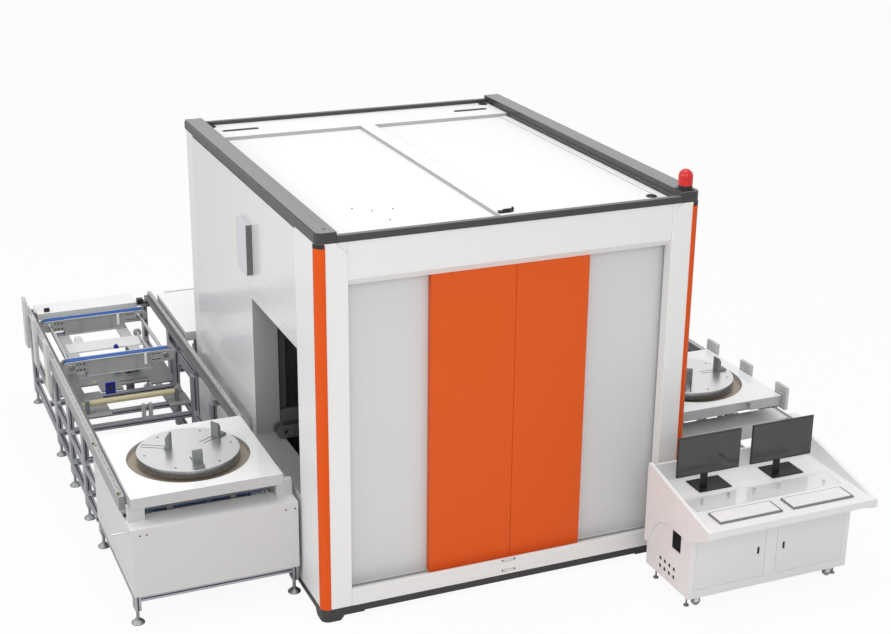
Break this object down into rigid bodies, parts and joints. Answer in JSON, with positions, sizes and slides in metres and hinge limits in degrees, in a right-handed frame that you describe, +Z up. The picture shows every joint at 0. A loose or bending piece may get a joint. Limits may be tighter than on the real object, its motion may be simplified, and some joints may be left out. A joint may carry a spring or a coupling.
{
  "type": "x-ray inspection machine",
  "caption": "Lead-lined x-ray cabinet with sliding front doors, pallet conveyor with clamping turntables, tunnel shutters, c-arm gantry and a separate operator desk.",
  "frame": {"origin": "on the floor, at the middle of the cabinet's footprint and of its anchor pattern", "axes": "+X to the right along the front, +Y to the back, along the pallet line, +Z up"},
  "size_m": [5.0226, 5.27, 2.7372],
  "materials": {
    "black_paint": "satin",
    "white_paint": "semi-gloss",
    "orange_paint": "satin",
    "door_orange": "satin",
    "grey_paint": "satin",
    "dark_steel": "satin",
    "roof_white": "satin",
    "beacon_red": "translucent look",
    "black_plastic": "fine grain",
    "zinc_sheet": "satin",
    "gantry_paint": "satin",
    "detector_grey": "satin",
    "profile_alu": "anodised",
    "foot_metal": "zinc coated",
    "rail_alu": "milled",
    "machined_alu": "machined",
    "cover_paint": "satin",
    "belt_blue": "matt",
    "shaft_steel": "ground",
    "roller_cream": "satin",
    "pallet_white": "smooth",
    "table_alu": "milled",
    "jaw_steel": "satin",
    "console_paint": "satin",
    "clear_glass": "clear",
    "key_plastic": "matt",
    "stand_black": "satin",
    "screen_black": "gloss"
  },
  "bodies": {
    "cabinet": {"plinth": "black_paint", "floor_plate": "dark_steel", "corner_posts": "white_paint", "corner_strips": "orange_paint", "front_fascias": "white_paint", "front_walls": "grey_paint", "left_wall": "white_paint", "right_wall": "white_paint", "rear_wall": "white_paint", "roof_panel": "roof_white", "top_rails": "black_paint", "beacon_base": "black_plastic", "beacon_dome": "beacon_red", "door_tracks": "zinc_sheet", "tunnel_liners": "dark_steel", "inner_conveyor": "dark_steel", "gantry_frame": "gantry_paint", "xray_generator": "gantry_paint", "line_frames": "profile_alu", "levelling_feet": "foot_metal", "side_rails": "rail_alu", "station_units": "machined_alu", "station_covers": "cover_paint", "stop_plates": "cover_paint", "station_belts": "belt_blue", "line_fittings": "machined_alu", "console_body": "console_paint", "console_desk": "console_paint", "glass_shelf": "clear_glass", "keyboards": "key_plastic", "monitor_stands": "stand_black"},
    "left_door_leaf": {"left_door": "door_orange"},
    "right_door_leaf": {"right_door": "door_orange"},
    "left_shutter_leaf": {"left_shutter": "dark_steel"},
    "right_shutter_leaf": {"right_shutter": "dark_steel"},
    "gantry_carriage": {"lift_carriage": "gantry_paint"},
    "c_arm_assembly": {"c_arm": "gantry_paint", "xray_tube": "dark_steel", "detector_panel": "detector_grey"},
    "cross_transfer": {"transfer_frame": "machined_alu", "transfer_belts": "belt_blue"},
    "belt_drive_shaft": {"drive_shaft": "shaft_steel"},
    "belt_idler_shaft": {"idler_shaft": "shaft_steel"},
    "hose_roller": {"guide_roller": "roller_cream"},
    "load_pallet": {"left_pallet": "pallet_white"},
    "load_table": {"left_turntable": "table_alu"},
    "load_jaw_a": {"left_jaw_a": "jaw_steel"},
    "load_jaw_b": {"left_jaw_b": "jaw_steel"},
    "load_jaw_c": {"left_jaw_c": "jaw_steel"},
    "outfeed_pallet": {"right_pallet": "pallet_white"},
    "outfeed_table": {"right_turntable": "table_alu"},
    "outfeed_jaw_a": {"right_jaw_a": "jaw_steel"},
    "outfeed_jaw_b": {"right_jaw_b": "jaw_steel"},
    "outfeed_jaw_c": {"right_jaw_c": "jaw_steel"},
    "returned_pallet": {"return_pallet": "pallet_white"},
    "console_door_left": {"console_left_door": "console_paint"},
    "console_door_right": {"console_right_door": "console_paint"},
    "monitor_left": {"left_monitor": "screen_black"},
    "monitor_right": {"right_monitor": "screen_black"}
  },
  "joints": [
    {"name": "left_door_slide", "type": "slide", "parent": "cabinet", "child": "left_door_leaf", "axis": [-1, 0, 0], "range_m": [0, 0.52]},
    {"name": "right_door_slide", "type": "slide", "parent": "cabinet", "child": "right_door_leaf", "axis": [1, 0, 0], "range_m": [0, 0.52]},
    {"name": "left_shutter_slide", "type": "slide", "parent": "cabinet", "child": "left_shutter_leaf", "axis": [0, -1, 0], "range_m": [0, 1]},
    {"name": "right_shutter_slide", "type": "slide", "parent": "cabinet", "child": "right_shutter_leaf", "axis": [0, -1, 0], "range_m": [0, 1]},
    {"name": "gantry_lift", "type": "slide", "parent": "cabinet", "child": "gantry_carriage", "axis": [0, 0, 1], "range_m": [-0.25, 0.08]},
    {"name": "c_arm_tilt", "type": "hinge", "parent": "gantry_carriage", "child": "c_arm_assembly", "pos_m": [0, 0.113, 1.25], "axis": [0, 1, 0], "range_deg": [-15, 15]},
    {"name": "transfer_lift", "type": "slide", "parent": "cabinet", "child": "cross_transfer", "axis": [0, 0, 1], "range_m": [-0.038, 0]},
    {"name": "belt_drive", "type": "hinge", "parent": "cross_transfer", "child": "belt_drive_shaft", "pos_m": [-2.292, 1.95, 0.7717], "axis": [0, 1, 0], "continuous": true},
    {"name": "belt_idler", "type": "hinge", "parent": "cross_transfer", "child": "belt_idler_shaft", "pos_m": [-1.561, 1.95, 0.7717], "axis": [0, 1, 0], "continuous": true},
    {"name": "roller_spin", "type": "hinge", "parent": "cabinet", "child": "hose_roller", "pos_m": [-1.875, 1.284, 0.53], "axis": [1, 0, 0], "continuous": true},
    {"name": "load_pallet_travel", "type": "slide", "parent": "cabinet", "child": "load_pallet", "axis": [1, 0, 0], "range_m": [0, 1.903]},
    {"name": "load_table_turn", "type": "hinge", "parent": "load_pallet", "child": "load_table", "pos_m": [-1.903, -0.642, 0.9], "axis": [0, 0, 1], "continuous": true},
    {"name": "load_jaw_a_slide", "type": "slide", "parent": "load_table", "child": "load_jaw_a", "axis": [-0.866, 0.5, 0], "range_m": [0, 0.13]},
    {"name": "load_jaw_b_slide", "type": "slide", "parent": "load_table", "child": "load_jaw_b", "axis": [0.866, 0.5, 0], "range_m": [-0.12, 0]},
    {"name": "load_jaw_c_slide", "type": "slide", "parent": "load_table", "child": "load_jaw_c", "axis": [0, -1, 0], "range_m": [-0.12, 0]},
    {"name": "outfeed_pallet_travel", "type": "slide", "parent": "cabinet", "child": "outfeed_pallet", "axis": [0, 1, 0], "range_m": [0, 0.9]},
    {"name": "outfeed_table_turn", "type": "hinge", "parent": "outfeed_pallet", "child": "outfeed_table", "pos_m": [1.798, -0.751, 0.9], "axis": [0, 0, 1], "continuous": true},
    {"name": "outfeed_jaw_a_slide", "type": "slide", "parent": "outfeed_table", "child": "outfeed_jaw_a", "axis": [-0.5, -0.866, 0], "range_m": [0, 0.13]},
    {"name": "outfeed_jaw_b_slide", "type": "slide", "parent": "outfeed_table", "child": "outfeed_jaw_b", "axis": [-0.5, 0.866, 0], "range_m": [-0.12, 0]},
    {"name": "outfeed_jaw_c_slide", "type": "slide", "parent": "outfeed_table", "child": "outfeed_jaw_c", "axis": [1, 0, 0], "range_m": [-0.12, 0]},
    {"name": "returned_pallet_travel", "type": "slide", "parent": "cabinet", "child": "returned_pallet", "axis": [1, 0, 0], "range_m": [0, 0.2]},
    {"name": "console_left_hinge", "type": "hinge", "parent": "cabinet", "child": "console_door_left", "pos_m": [0.976, -2.295, 0.4], "axis": [0, 0, -1], "range_deg": [0, 90]},
    {"name": "console_right_hinge", "type": "hinge", "parent": "cabinet", "child": "console_door_right", "pos_m": [2.113, -2.295, 0.4], "axis": [0, 0, 1], "range_deg": [0, 90]},
    {"name": "left_monitor_tilt", "type": "hinge", "parent": "cabinet", "child": "monitor_left", "pos_m": [1.209, -1.956, 0.91133], "axis": [1, 0, 0], "range_deg": [-12, 5]},
    {"name": "right_monitor_tilt", "type": "hinge", "parent": "cabinet", "child": "monitor_right", "pos_m": [1.773, -1.956, 0.91133], "axis": [1, 0, 0], "range_deg": [-12, 5]}
  ],
  "couplings": [
    {"joint": "belt_idler", "follows": "belt_drive", "ratio": 1}
  ]
}
